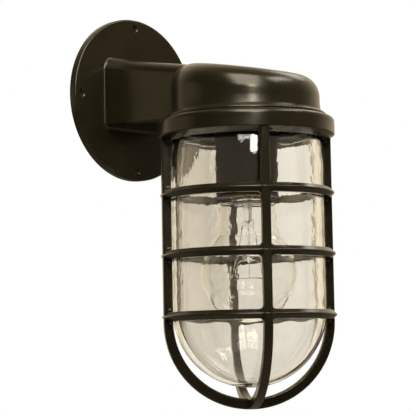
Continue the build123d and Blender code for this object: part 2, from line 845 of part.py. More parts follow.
# Stem: a flared tube, a flat press that holds the leads, and a rod that ends in a button
stem_foot = neck_top - stem_length
press_foot = stem_foot - press_height
button_middle = press_foot - arbor_length
with BuildPart() as bulb_stem:
    with BuildSketch(lamp_plane):
        with BuildLine():
            Polyline(
                (0, neck_top),
                (bulb_neck_radius - bulb_glass - fit_clearance, neck_top),
                (stem_radius, neck_top - stem_flare_height),
                (stem_radius, stem_foot),
                (arbor_radius, press_foot),
                (arbor_radius, button_middle),
                (0, button_middle),
                close=True,
            )
        make_face()
    revolve(axis=lamp_axis)
    with BuildSketch(Plane.XY.offset(press_foot)):
        with Locations(Location((0, lamp_y), filament_gap_turn)):
            RectangleRounded(press_thickness, press_width, 0.45 * press_thickness)
    extrude(amount=press_height)
    with Locations((0, lamp_y, button_middle)):
        Sphere(button_radius)
bulb_stem.part.label = "bulb_stem"
export_step(bulb_stem.part, "parts/bulb_stem.step")

# Filament: an open circle of wire below the button, held by two leads at its ends and by supports
filament_height = button_middle - filament_drop
half_open = (360 - filament_sweep) / 2


def bulb_point(angle, radius, height):
    """Point at a height and radius, at an angle round the lamp's axis from the filament's gap."""
    turn = radians(filament_gap_turn + angle)
    return (radius * cos(turn), lamp_y + radius * sin(turn), height)


with BuildPart() as bulb_filament:
    with BuildLine(Plane(origin=(0, lamp_y, filament_height))) as filament_line:
        CenterArc((0, 0), filament_radius, filament_gap_turn + half_open, filament_sweep)
    with BuildSketch(Plane(origin=filament_line.line @ 0, z_dir=filament_line.line % 0)):
        Circle(filament_wire)
    sweep()
bulb_filament.part.label = "bulb_filament"
export_step(bulb_filament.part, "parts/bulb_filament.step")

wire_foot = filament_height + filament_wire + support_wire + fit_clearance
with BuildPart() as bulb_leads:
    for side in (-1, 1):
        route = [
            bulb_point(90 * side, 0.42 * press_width, press_foot - fit_clearance),
            bulb_point(90 * side, 0.6 * press_width, (press_foot + button_middle) / 2),
            bulb_point(half_open * side, filament_radius, wire_foot),
        ]
        add(wire_along(route, support_wire))
bulb_leads.part.label = "bulb_leads"
export_step(bulb_leads.part, "parts/bulb_leads.step")

support_start = button_radius + support_wire + fit_clearance
with BuildPart() as bulb_supports:
    for step in range(support_count):
        angle = half_open + filament_sweep * (step + 1) / (support_count + 1)
        route = [
            bulb_point(angle, support_start, button_middle),
            bulb_point(angle, filament_radius - button_radius, button_middle - button_radius),
            bulb_point(angle, filament_radius, wire_foot),
        ]
        add(wire_along(route, support_wire))
bulb_supports.part.label = "bulb_supports"
export_step(bulb_supports.part, "parts/bulb_supports.step")
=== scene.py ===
import json
import logging
from dataclasses import dataclass, field
from enum import Enum
from math import cos, pi, radians, sin, sqrt
from typing import Any, Optional, Union

import bpy
import numpy as np
from mathutils import Matrix, Vector


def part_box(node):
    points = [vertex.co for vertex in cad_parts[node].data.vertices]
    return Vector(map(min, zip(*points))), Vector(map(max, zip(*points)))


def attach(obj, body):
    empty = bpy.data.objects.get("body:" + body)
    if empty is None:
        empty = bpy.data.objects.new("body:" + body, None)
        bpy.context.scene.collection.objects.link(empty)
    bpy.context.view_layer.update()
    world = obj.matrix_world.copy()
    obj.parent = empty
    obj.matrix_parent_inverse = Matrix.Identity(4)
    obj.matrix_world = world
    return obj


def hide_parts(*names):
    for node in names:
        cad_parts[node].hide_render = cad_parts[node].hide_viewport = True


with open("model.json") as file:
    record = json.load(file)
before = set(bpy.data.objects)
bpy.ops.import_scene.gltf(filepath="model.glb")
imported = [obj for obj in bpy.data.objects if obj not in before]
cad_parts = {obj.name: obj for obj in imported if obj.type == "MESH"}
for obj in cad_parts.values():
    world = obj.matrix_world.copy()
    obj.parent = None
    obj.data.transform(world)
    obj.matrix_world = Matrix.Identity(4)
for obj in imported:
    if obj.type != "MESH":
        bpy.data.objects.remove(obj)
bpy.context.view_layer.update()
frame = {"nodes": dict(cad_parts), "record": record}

LOG = logging.getLogger("wall_lamp")
IMAGE_SIDE = 416
SENSOR = 36.0
MM = 0.001

# A full turn in radians and a right angle in degrees.
FULL_TURN = 2 * pi
RIGHT_ANGLE = 90.0
# Profile points nearer than this are one point.
SAME_POINT = 0.0001 * MM
# Vertices of a node nearer than this are welded.
WELD_GAP = 0.002 * MM
# Fineness of a threaded tube.
TUBE_COLUMNS = 96
ROWS_PER_PITCH = 12
# A slanted direction that no path here runs along, so that it can steady a tube's rings.
STEADY = np.array([0.31, 0.17, 0.93])

Colour = tuple[float, float, float]
Point = tuple[float, float]
Span = tuple[float, float]
Stretch = tuple[float, float, float]
Array = np.ndarray

WHITE: Colour = (1.0, 1.0, 1.0)
BLACK: Colour = (0.0, 0.0, 0.0)
EVEN: Stretch = (1.0, 1.0, 1.0)


class Value:
    """One output socket of a node tree, with operators that add Math nodes."""

    def __init__(self, graph: "Graph", socket: bpy.types.NodeSocket) -> None:
        """Keep the graph and the socket."""
        self.graph = graph
        self.socket = socket

    def _math(self, operation: str, *terms: "Term") -> "Value":
        """Add one Math node.

        Args:
            operation: the node's operation.
            terms: values or numbers, in the order of the node's sockets.

        Returns:
            The node's result.
        """
        node = self.graph.node("ShaderNodeMath", {"operation": operation}, dict(enumerate(terms)))
        return Value(self.graph, node.outputs[0])

    def __add__(self, other: "Term") -> "Value":
        """Sum of two values."""
        return self._math("ADD", self, other)

    __radd__ = __add__

    def __sub__(self, other: "Term") -> "Value":
        """Difference of two values."""
        return self._math("SUBTRACT", self, other)

    def __rsub__(self, other: "Term") -> "Value":
        """Difference with the number first."""
        return self._math("SUBTRACT", other, self)

    def __mul__(self, other: "Term") -> "Value":
        """Product of two values."""
        return self._math("MULTIPLY", self, other)

    __rmul__ = __mul__

    def most(self, other: "Term") -> "Value":
        """Larger of two values."""
        return self._math("MAXIMUM", self, other)

    def ease(self, low: float, high: float) -> "Value":
        """Smooth step from 0 at low to 1 at high.

        Args:
            low: the value that gives 0.
            high: the value that gives 1.

        Returns:
            The eased value.
        """
        settings = {"interpolation_type": "SMOOTHSTEP"}
        node = self.graph.node("ShaderNodeMapRange", settings, {0: self, 1: low, 2: high})
        return Value(self.graph, node.outputs[0])


Term = Union[Value, float, int]


@dataclass(frozen=True)
class Grain:
    """Size of a noise: features per metre, octaves of finer noise and a factor for each axis."""

    scale: float
    detail: float = 2.0
    stretch: Stretch = EVEN


class Graph:
    """A node tree that is filled by one method."""

    def __init__(self, tree: bpy.types.NodeTree) -> None:
        """Empty the tree."""
        self.tree = tree
        tree.nodes.clear()

    def node(
        self, kind: str, settings: Optional[dict[str, Any]] = None, inputs: Optional[dict[Any, Any]] = None
    ) -> bpy.types.Node:
        """Add a node.

        Args:
            kind: the node's type.
            settings: attributes of the node, set first.
            inputs: socket names or numbers with the values, colours or links that they take.

        Returns:
            The node.
        """
        node = self.tree.nodes.new(kind)
        for name, setting in (settings or {}).items():
            setattr(node, name, setting)
        for key, term in (inputs or {}).items():
            socket = node.inputs[key]
            if isinstance(term, Value):
                self.tree.links.new(term.socket, socket)
            elif isinstance(term, tuple) and len(term) == 3 and socket.type == "RGBA":
                socket.default_value = (*term, 1.0)
            else:
                socket.default_value = term
        return node

    def output(self, node: bpy.types.Node, key: Union[str, int] = 0) -> Value:
        """Wrap one of a node's outputs."""
        return Value(self, node.outputs[key])

    def place(self, stretch: Stretch = EVEN) -> Value:
        """Object coordinates, stretched along each axis.

        Args:
            stretch: factor for each axis.

        Returns:
            The coordinate vector.
        """
        coordinates = self.output(self.node("ShaderNodeTexCoord"), "Object")
        if stretch == EVEN:
            return coordinates
        return self.output(self.node("ShaderNodeMapping", None, {"Vector": coordinates, "Scale": stretch}))

    def height(self) -> Value:
        """Upright part of the object coordinates."""
        return self.output(self.node("ShaderNodeSeparateXYZ", None, {0: self.place()}), 2)

    def noise(self, grain: Grain) -> Value:
        """Smooth noise between 0 and 1.

        Args:
            grain: the noise's size.

        Returns:
            The noise.
        """
        inputs = {"Vector": self.place(grain.stretch), "Scale": grain.scale, "Detail": grain.detail}
        return self.output(self.node("ShaderNodeTexNoise", None, inputs))

    def blend(self, factor: Term, first: Union[Value, Colour], second: Union[Value, Colour]) -> Value:
        """Mix two colours.

        Args:
            factor: 0 for the first colour, 1 for the second.
            first: a colour or a link.
            second: a colour or a link.

        Returns:
            The mixed colour.
        """
        mix = self.node("ShaderNodeMix", {"data_type": "RGBA"}, {0: factor, 6: first, 7: second})
        return self.output(mix, 2)

    def bump(self, height: Value, depth: float, strength: float = 1.0) -> Value:
        """Bump that feeds a Normal socket.

        Args:
            height: relief between 0 and 1.
            depth: depth of the full relief in metres.
            strength: share of the relief that is used.

        Returns:
            The normal.
        """
        inputs = {"Strength": strength, "Distance": depth, "Height": height}
        return self.output(self.node("ShaderNodeBump", None, inputs))

    def surface(self, **inputs: Any) -> None:
        """Add the shader and the output.

        Args:
            inputs: values for the shader's sockets, with underscores for spaces.
        """
        named = {key.replace("_", " "): term for key, term in inputs.items()}
        shader = self.node("ShaderNodeBsdfPrincipled", None, named)
        self.node("ShaderNodeOutputMaterial", None, {"Surface": self.output(shader)})


@dataclass(frozen=True)
class Finish:
    """A surface finish: a name and the nodes that make it."""

    name: str

    def dress(self, graph: Graph) -> None:
        """Fill the material's nodes."""
        raise NotImplementedError

    def material(self) -> bpy.types.Material:
        """Make the material, or give the one made before.

        Returns:
            The material.
        """
        known = bpy.data.materials.get(self.name)
        if known is not None and known.get("finished"):
            return known
        made = bpy.data.materials.new(self.name)
        made.use_nodes = True
        self.dress(Graph(made.node_tree))
        made["finished"] = True
        return made


@dataclass(frozen=True)
class CastPaint(Finish):
    """Satin dark paint on a casting, mottled, with a fine orange peel."""

    dark: Colour = (0.0088, 0.0070, 0.0026)
    light: Colour = (0.0122, 0.0098, 0.0038)
    sheen: Colour = (1.0, 0.89, 0.70)
    roughness: float = 0.25
    gloss_change: float = 0.05
    mottle: Grain = Grain(38.0, 3.0)
    mottle_span: Span = (0.35, 0.68)
    speckle: Grain = Grain(900.0)
    speckle_share: float = 0.2
    peel: Grain = Grain(520.0)
    peel_share: float = 0.6
    peel_depth: float = 0.04 * MM
    peel_strength: float = 0.4

    def dress(self, graph: Graph) -> None:
        """Mottle the colour and the gloss and add the peel.

        Args:
            graph: the material's nodes.
        """
        mottle = graph.noise(self.mottle).ease(*self.mottle_span)
        speckle = graph.noise(self.speckle)
        tone = mottle * (1 - self.speckle_share) + speckle * self.speckle_share
        peel = graph.noise(self.peel) * self.peel_share + speckle * (1 - self.peel_share)
        graph.surface(
            Base_Color=graph.blend(tone, self.dark, self.light),
            Roughness=self.roughness + self.gloss_change * (mottle + speckle - 1),
            Normal=graph.bump(peel, self.peel_depth, self.peel_strength),
            Specular_Tint=self.sheen,
        )


@dataclass(frozen=True)
class ClearGlass(Finish):
    """Clear glass with a faint, cloudy tint, and with a fine relief where one is stated."""

    tint: Colour = (0.93, 0.89, 0.82)
    index: float = 1.5
    relief: float = 0.0
    shine: float = 0.5
    haze: float = 0.004
    film: Grain = Grain(60.0)
    cloud: Grain = Grain(30.0)
    paler_share: float = 0.8
    waves: Grain = Grain(330.0, 1.0, (1.0, 1.0, 0.45))
    relief_span: Span = (-195.0 * MM, -145.0 * MM)

    def dress(self, graph: Graph) -> None:
        """Tint the glass, with a slow change of gloss and a fine relief that fades downwards.

        Args:
            graph: the material's nodes.
        """
        paler = tuple(1 - self.paler_share * (1 - part) for part in self.tint)
        extra: dict[str, Value] = {}
        if self.relief:
            fade = graph.height().ease(*self.relief_span)
            extra["Normal"] = graph.bump(fade * graph.noise(self.waves), self.relief)
        graph.surface(
            Base_Color=graph.blend(graph.noise(self.cloud), self.tint, paler),
            Roughness=self.haze * graph.noise(self.film),
            IOR=self.index,
            Transmission_Weight=1.0,
            Specular_IOR_Level=self.shine,
            **extra,
        )


@dataclass(frozen=True)
class BareMetal(Finish):
    """Bare or plated metal with fine brushing and tarnish."""

    bright: Colour = (0.6, 0.6, 0.58)
    tarnish: Colour = (0.35, 0.34, 0.31)
    roughness: float = 0.3
    patch: Grain = Grain(160.0, 4.0)
    patch_span: Span = (0.38, 0.72)
    patch_dulling: float = 0.18
    brush: Grain = Grain(700.0, 2.0, (1.0, 1.0, 6.0))
    brush_change: float = 0.06
    brush_depth: float = 0.03 * MM
    brush_strength: float = 0.4

    def dress(self, graph: Graph) -> None:
        """Tarnish the metal in patches and brush it finely.

        Args:
            graph: the material's nodes.
        """
        patch = graph.noise(self.patch).ease(*self.patch_span)
        brush = graph.noise(self.brush)
        graph.surface(
            Base_Color=graph.blend(patch, self.bright, self.tarnish),
            Metallic=1.0,
            Roughness=self.roughness + self.patch_dulling * patch + self.brush_change * (brush - 0.5),
            Normal=graph.bump(brush, self.brush_depth, self.brush_strength),
        )


@dataclass(frozen=True)
class Moulded(Finish):
    """Moulded plastic or rubber with a fine grain."""

    colour: Colour = (0.02, 0.02, 0.02)
    worn: Colour = (0.035, 0.035, 0.033)
    roughness: float = 0.5
    grain_depth: float = 0.05 * MM
    shine: float = 0.5
    cloud: Grain = Grain(70.0, 3.0)
    cloud_change: float = 0.12
    grain: Grain = Grain(1200.0)
    grain_change: float = 0.08
    grain_share: float = 0.3
    grain_strength: float = 0.5

    def dress(self, graph: Graph) -> None:
        """Vary the colour slowly and add the grain.

        Args:
            graph: the material's nodes.
        """
        cloud = graph.noise(self.cloud)
        grain = graph.noise(self.grain)
        tone = cloud * (1 - self.grain_share) + grain * self.grain_share
        change = self.cloud_change * (cloud - 0.5) + self.grain_change * (grain - 0.5)
        graph.surface(
            Base_Color=graph.blend(tone, self.colour, self.worn),
            Roughness=self.roughness + change,
            Normal=graph.bump(grain, self.grain_depth, self.grain_strength),
            Specular_IOR_Level=self.shine,
        )


@dataclass(frozen=True)
class FloorPaint(Finish):
    """Pale matt paint with a faint cloud, lifted towards white where seen directly or through glass."""

    pale: Colour = (0.40, 0.375, 0.33)
    paler: Colour = (0.46, 0.435, 0.39)
    lift: Colour = (0.72, 0.72, 0.715)
    roughness: float = 0.8
    cloud: Grain = Grain(1.5)

    def dress(self, graph: Graph) -> None:
        """Cloud the paint and lift it in direct views and views through glass.

        Args:
            graph: the material's nodes.
        """
        path = graph.node("ShaderNodeLightPath")
        direct = graph.output(path, "Is Camera Ray").most(graph.output(path, "Is Transmission Ray"))
        graph.surface(
            Base_Color=graph.blend(graph.noise(self.cloud), self.pale, self.paler),
            Roughness=self.roughness,
            Emission_Color=graph.blend(direct, BLACK, self.lift),
            Emission_Strength=1.0,
        )


class Coat(Enum):
    """The lamp's finishes by the record's material slots, with one more for the bulb's stem."""

    bronze = CastPaint("bronze_paint")
    jar_glass = ClearGlass("jar_glass_clear", (0.925, 0.89, 0.815), 1.5, 0.08 * MM)
    bulb_glass = ClearGlass("bulb_glass_clear", (0.99, 0.985, 0.97), 1.28, shine=1.0)
    stem_glass = ClearGlass("stem_glass_clear", (1.0, 1.0, 0.99), 1.4, shine=1.0, haze=0.6)
    rubber_black = Moulded("rubber_seal", (0.012, 0.012, 0.012), (0.03, 0.03, 0.028), 0.7, 0.08 * MM)
    zinc_steel = BareMetal("zinc_plate", (0.62, 0.61, 0.57), (0.42, 0.41, 0.37), 0.32)
    brass = BareMetal("brass_plain", (0.72, 0.47, 0.17), (0.36, 0.23, 0.09), 0.28)
    phenolic = Moulded("phenolic_dark", (0.007, 0.006, 0.004), (0.012, 0.0105, 0.007), 0.42, shine=0.05)
    block_plastic = Moulded("block_ivory", (0.66, 0.62, 0.5), (0.72, 0.69, 0.58), 0.42)
    insulation_black = Moulded("insulation_black", (0.012, 0.012, 0.013), (0.03, 0.03, 0.03), 0.4)
    insulation_white = Moulded("insulation_white", (0.74, 0.73, 0.69), (0.8, 0.79, 0.76), 0.4)
    insulation_green = Moulded("insulation_green", (0.02, 0.16, 0.04), (0.04, 0.22, 0.06), 0.4)
    base_glass = Moulded("base_glass_black", (0.008, 0.006, 0.01), (0.014, 0.012, 0.016), 0.15, 0.01 * MM)
    solder = BareMetal("solder_tin", (0.55, 0.55, 0.54), (0.36, 0.36, 0.35), 0.4)
    tungsten = BareMetal("tungsten_wire", (0.30, 0.28, 0.26), (0.18, 0.17, 0.16), 0.45)


def add_object(name: str, data: bpy.types.ID) -> bpy.types.Object:
    """Make an object and link it to the scene.

    Args:
        name: the object's name.
        data: its mesh, light or camera.

    Returns:
        The object.
    """
    made = bpy.data.objects.new(name, data)
    bpy.context.scene.collection.objects.link(made)
    return made


def shade_smooth(mesh: bpy.types.Mesh) -> None:
    """Shade every face of a mesh smoothly."""
    mesh.polygons.foreach_set("use_smooth", np.ones(len(mesh.polygons), dtype=bool))


def grid_mesh(name: str, points: Array, poles: tuple[bool, bool], closed: bool = False) -> bpy.types.Object:
    """Mesh from a grid of points that runs round in its second direction.

    A pole is a first or last row whose points are all one point: it becomes a single vertex with a
    fan of triangles. The faces are turned outwards by the sign of the enclosed volume.

    Args:
        name: the object's name.
        points: rows, columns and coordinates, in metres.
        poles: whether the first and the last row are poles.
        closed: whether the last row joins the first.

    Returns:
        The object, linked to the scene.
    """
    rows, columns = points.shape[:2]
    index = np.arange(rows * columns).reshape(rows, columns)
    if poles[0]:
        index[0] = index[0, 0]
    if poles[1]:
        index[-1] = index[-1, 0]
    below = index if closed else index[:-1]
    above = np.roll(index, -1, 0) if closed else index[1:]
    quads = np.stack([below, np.roll(below, -1, 1), np.roll(above, -1, 1), above], -1).reshape(-1, 4)
    flat = points.reshape(-1, 3)
    corner = flat[quads]
    first = np.einsum("ij,ij->i", corner[:, 0], np.cross(corner[:, 1], corner[:, 2]))
    second = np.einsum("ij,ij->i", corner[:, 0], np.cross(corner[:, 2], corner[:, 3]))
    if (first + second).sum() < 0:
        quads = quads[:, ::-1]
    used, packed = np.unique(quads, return_inverse=True)
    packed = packed.reshape(quads.shape)
    same = packed == np.roll(packed, -1, 1)
    pinched = same.any(1)
    triangles = packed[pinched][~same[pinched]].reshape(-1, 3)
    mesh = bpy.data.meshes.new(name)
    mesh.from_pydata(flat[used].tolist(), [], packed[~pinched].tolist() + triangles.tolist())
    shade_smooth(mesh)
    mesh.update()
    return add_object(name, mesh)


def turns(columns: int) -> Array:
    """Evenly spaced angles of one full turn, without its end."""
    return np.linspace(0.0, FULL_TURN, columns, endpoint=False)


def arc(middle: Point, radius: float, start: float, end: float, steps: int) -> Array:
    """Points of a circle's arc: middle plus radius times cosine and sine of evenly spaced angles.

    Args:
        middle: the circle's middle.
        radius: its radius.
        start: first angle in degrees.
        end: last angle in degrees.
        steps: number of spaces.

    Returns:
        Points in the profile's plane.
    """
    turn = np.radians(np.linspace(start, end, steps + 1))
    return np.stack([middle[0] + radius * np.cos(turn), middle[1] + radius * np.sin(turn)], -1)


def run(start: Point, end: Point, step: float) -> Array:
    """Evenly spaced points of a straight line between two points.

    Args:
        start: first point.
        end: last point.
        step: the space between points, before it is evened out over the line.

    Returns:
        Points in the profile's plane.
    """
    length = sqrt((end[0] - start[0]) ** 2 + (end[1] - start[1]) ** 2)
    share = np.linspace(0.0, 1.0, max(1, round(length / step)) + 1)[:, None]
    return np.array(start) * (1 - share) + np.array(end) * share


def join(*stretches: Array) -> Array:
    """Join stretches of a profile and drop points that repeat.

    Args:
        stretches: points of each stretch, in order.

    Returns:
        The joined points.
    """
    profile = np.concatenate(stretches)
    keep = np.r_[True, np.linalg.norm(np.diff(profile, axis=0), axis=1) > SAME_POINT]
    return profile[keep]


def lathe(profile: Array, columns: int, centre: Point) -> Array:
    """Turn a profile about an upright axis: x and y are the radius times cosine and sine of the turn.

    Args:
        profile: radius and height for each row and column.
        columns: number of columns.
        centre: the axis, as x and y.

    Returns:
        The grid of points.
    """
    turn = turns(columns)
    radius = profile[..., 0]
    x = centre[0] + radius * np.cos(turn)
    y = centre[1] + radius * np.sin(turn)
    return np.stack([x, y, profile[..., 1]], -1)


def spread(profile: Array, columns: int) -> Array:
    """Repeat a profile for each column, as a copy that can be moved."""
    return np.repeat(profile[:, None, :], columns, axis=1)


def smooth(value: Array, low: float, high: float) -> Array:
    """Smooth step: 0 up to low, 1 from high, and 3t squared less 2t cubed between."""
    share = np.clip((value - low) / (high - low), 0.0, 1.0)
    return share * share * (3 - 2 * share)


@dataclass(frozen=True)
class Ripple:
    """Unevenness of blown glass: a sum of waves round the axis and along it."""

    height: float
    most_round: int
    shortest: float
    longest: float
    terms: int
    seed: int

    def at(self, turn: Array, along: Array) -> Array:
        """Work out the waves.

        Each term is a cosine of a whole number of turns plus the distance along over a wave's
        length plus a phase, and the terms add up to the stated height on average.

        Args:
            turn: angle round the axis, one for each column.
            along: distance along the profile, one for each row.

        Returns:
            Offset for each row and column.
        """
        draw = np.random.default_rng(self.seed)
        counts = draw.integers(-self.most_round, self.most_round + 1, self.terms)
        lengths = draw.uniform(self.shortest, self.longest, self.terms)
        phases = draw.uniform(0.0, FULL_TURN, self.terms)
        angle = counts * turn[None, :, None] + FULL_TURN * along[:, None, None] / lengths + phases
        return self.height * np.cos(angle).sum(-1) / sqrt(self.terms / 2)


def settle(piece: bpy.types.Object, body: str, slot: str, *nodes: str) -> None:
    """Give a piece its finish, its body and the nodes that it stands for.

    Args:
        piece: the object.
        body: the body that it moves with.
        slot: the record's material slot.
        nodes: the nodes that it replaces.
    """
    piece.data.materials.append(Coat[slot].value.material())
    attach(piece, body)
    if nodes:
        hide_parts(*nodes)
    LOG.info("%s: %d faces on %s", piece.name, len(piece.data.polygons), body)


def lamp_centre() -> Point:
    """Axis of the lamp, as x and y, from the jar's box."""
    low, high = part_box("glass_globe")
    return ((low.x + high.x) / 2, (low.y + high.y) / 2)


def record_slots() -> dict[str, str]:
    """Material slot of each node, from the record."""
    return {part["node"]: part["material_slot"] for part in frame["record"]["subparts"]}


@dataclass
class Jar:
    """Blown glass jar with a flange, an uneven wall and a mark at its bottom."""

    wall: float = 6.0 * MM
    # The wall thins to this at the dome's bottom, over an angle in degrees.
    dome_wall: float = 3.0 * MM
    dome_thinning: float = RIGHT_ANGLE
    flange_width: float = 2.0 * MM
    flange_thickness: float = 4.0 * MM
    flange_round: float = 1.2 * MM
    round_steps: int = 4
    row_step: float = 1.4 * MM
    columns: int = 220
    outer_ripple: Ripple = Ripple(0.012 * MM, 9, 14 * MM, 60 * MM, 18, 7)
    inner_ripple: Ripple = Ripple(0.032 * MM, 16, 9 * MM, 30 * MM, 26, 11)
    # Distances from the top, the axis and the bottom over which the ripples set in.
    calm_top: Span = (6.0 * MM, 16.0 * MM)
    calm_axis: Span = (1.0 * MM, 22.0 * MM)
    calm_bottom: Span = (20.0 * MM, 65.0 * MM)
    calm_least: float = 0.3
    mark_radius: float = 9.0 * MM
    mark_height: float = 1.1 * MM
    mark_rings: float = 9.0
    mark_ring_share: float = 0.35
    shoulder_length: float = 26.0 * MM
    shoulder_draw: float = 2.6 * MM
    shoulder_gap: float = 0.1 * MM

    def profile(self) -> tuple[Array, Array]:
        """Half outline from the outer bottom over the flange to the inner bottom.

        Returns:
            The points and, for each, 0 on the outside and 1 on the inside.
        """
        low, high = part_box("glass_globe")
        flange = (high.x - low.x) / 2
        radius = flange - self.flange_width
        bore = radius - self.wall
        spring = low.z + radius
        foot = high.z - self.flange_thickness
        bend = self.flange_round
        steps = round(radius * pi / 2 / self.row_step)
        outside = join(
            arc((0, spring), radius, -90, 0, steps),
            run((radius, spring), (radius, foot), self.row_step),
            run((radius, foot), (flange - bend, foot), self.row_step),
            arc((flange - bend, foot + bend), bend, -90, 0, self.round_steps),
            arc((flange - bend, high.z - bend), bend, 0, 90, self.round_steps),
        )
        inside = join(
            run((flange - bend, high.z), (bore + bend, high.z), self.row_step),
            arc((bore + bend, high.z - bend), bend, 90, 180, self.round_steps),
            run((bore, high.z - bend), (bore, spring), self.row_step),
            self.inner_dome(spring, radius, steps),
        )
        points = np.concatenate([outside, inside[1:]])
        side = np.r_[np.zeros(len(outside)), np.ones(len(inside) - 1)]
        points[[0, -1], 0] = 0.0
        return points, side

    def inner_dome(self, spring: float, radius: float, steps: int) -> Array:
        """Inner wall of the dome: the outer circle's radius less a wall that thins towards the bottom.

        Args:
            spring: height of the dome's middle.
            radius: the outer radius.
            steps: number of spaces.

        Returns:
            Points from the dome's edge to its bottom.
        """
        fall = np.radians(np.linspace(0.0, RIGHT_ANGLE, steps + 1))
        thinned = smooth(fall, 0.0, radians(self.dome_thinning))
        reach = radius - self.wall - (self.dome_wall - self.wall) * thinned
        return np.stack([reach * np.cos(fall), spring - reach * np.sin(fall)], -1)

    def ripples(self, points: Array, side: Array, bottom: float, top: float) -> Array:
        """Ripple of each side's wall, calmed by smooth steps near the flange, the axis and the bottom.

        Args:
            points: the outline.
            side: for each point, 0 on the outside and 1 on the inside.
            bottom: height of the jar's bottom.
            top: height of the jar's top.

        Returns:
            Offset for each row and column.
        """
        along = np.r_[0.0, np.cumsum(np.linalg.norm(np.diff(points, axis=0), axis=1))]
        turn = turns(self.columns)
        inner = self.inner_ripple.at(turn, along)
        outer = self.outer_ripple.at(turn, along)
        calm = smooth(top - points[:, 1], *self.calm_top) * smooth(points[:, 0], *self.calm_axis)
        calm *= self.calm_least + (1 - self.calm_least) * smooth(points[:, 1] - bottom, *self.calm_bottom)
        return np.where(side[:, None] > 0, inner, outer) * calm[:, None]

    def mark(self, points: Array, side: Array, bottom: float) -> Array:
        """Rise of the inner bottom: a bell over the radius, times 1 plus a share of a ringed cosine.

        Args:
            points: the outline.
            side: for each point, 0 on the outside and 1 on the inside.
            bottom: height of the jar's bottom.

        Returns:
            Rise for each point.
        """
        inner_bottom = side * (points[:, 1] < bottom + 2 * self.wall)
        reach = points[:, 0] / self.mark_radius
        rings = 1 + self.mark_ring_share * np.cos(self.mark_rings * reach)
        return self.mark_height * np.exp(-reach**2) * rings * inner_bottom

    def shoulder(self, points: Array, side: Array, top: float) -> Array:
        """How far the wall draws in below the flange, which grows with the square of the height.

        Args:
            points: the outline.
            side: for each point, 0 on the outside and 1 on the inside.
            top: height of the jar's top.

        Returns:
            Step inwards for each point.
        """
        foot = top - self.flange_thickness
        rise = np.clip((points[:, 1] - foot + self.shoulder_length) / self.shoulder_length, 0.0, 1.0)
        drawn = (points[:, 1] < foot - self.shoulder_gap) | (side > 0)
        return self.shoulder_draw * rise**2 * drawn

    def build(self) -> None:
        """Make the jar: its outline moves along its own normal by the ripple, and is turned."""
        low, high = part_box("glass_globe")
        points, side = self.profile()
        slope = np.gradient(points, axis=0)
        normal = np.stack([slope[:, 1], -slope[:, 0]], -1)
        normal /= np.linalg.norm(normal, axis=1, keepdims=True)
        offset = self.ripples(points, side, low.z, high.z)
        moved = points[:, None, :] + offset[..., None] * normal[:, None, :]
        moved[..., 1] += self.mark(points, side, low.z)[:, None]
        moved[..., 0] -= self.shoulder(points, side, high.z)[:, None]
        made = grid_mesh("jar", lathe(moved, self.columns, lamp_centre()), (True, True))
        settle(made, "globe", "jar_glass", "glass_globe")


@dataclass(frozen=True)
class Thread:
    """Rounded thread on a round wall: the radius swings with the height over the pitch less the turn."""

    pitch: float
    depth: float
    fade: float

    def offset(self, turn: Array, height: Array, low: float, high: float) -> Array:
        """Work out the groove, which dies away towards both ends.

        Args:
            turn: angle round the axis, one for each column.
            height: height of each row.
            low: lower end of the thread.
            high: upper end of the thread.

        Returns:
            Offset for each row and column.
        """
        swing = 0.5 + 0.5 * np.cos(FULL_TURN * height[:, None] / self.pitch - turn[None, :])
        span = smooth(height, low, low + self.fade) * (1 - smooth(height, high - self.fade, high))
        return -self.depth * swing * span[:, None]


def threaded_tube(name: str, node: str, wall: float, thread: Thread, inside: float) -> bpy.types.Object:
    """Tube of a node's height and width with a thread outside.

    The outline runs up the outer wall and down the inner one. The thread's offset is added to the
    outer radius, and a share of it to the inner one.

    Args:
        name: the object's name.
        node: the node whose box the tube fills.
        wall: the tube's wall.
        thread: the thread.
        inside: share of the thread that the inner wall follows.

    Returns:
        The tube.
    """
    step = thread.pitch / ROWS_PER_PITCH
    low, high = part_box(node)
    radius = (high.x - low.x) / 2
    outer = run((radius, low.z), (radius, high.z), step)
    inner = run((radius - wall, high.z), (radius - wall, low.z), step)
    profile = np.concatenate([outer, inner])
    part = np.r_[np.ones(len(outer)), np.full(len(inner), inside)]
    groove = thread.offset(turns(TUBE_COLUMNS), profile[:, 1], low.z + thread.fade / 2, high.z)
    moved = spread(profile, TUBE_COLUMNS)
    moved[..., 0] += groove * part[:, None]
    return grid_mesh(name, lathe(moved, TUBE_COLUMNS, lamp_centre()), (False, False), True)


def tube(path: Array, radius: float, sides: int) -> Array:
    """Carry a circle along a path.

    The circle's first direction is a steady slanted one less its share along the path, and its
    second is square to both. The first and last rings shrink to the path's ends.

    Args:
        path: points of the middle line.
        radius: the tube's radius.
        sides: points of each ring.

    Returns:
        The grid of points.
    """
    along = np.gradient(path, axis=0)
    along /= np.linalg.norm(along, axis=1, keepdims=True)
    first = STEADY - along * (along @ STEADY)[:, None]
    first /= np.linalg.norm(first, axis=1, keepdims=True)
    second = np.cross(along, first)
    turn = turns(sides)[None, :, None]
    ring = np.cos(turn) * first[:, None, :] + np.sin(turn) * second[:, None, :]
    grid = path[:, None, :] + radius * ring
    return np.concatenate([spread(path[:1], sides), grid, spread(path[-1:], sides)])


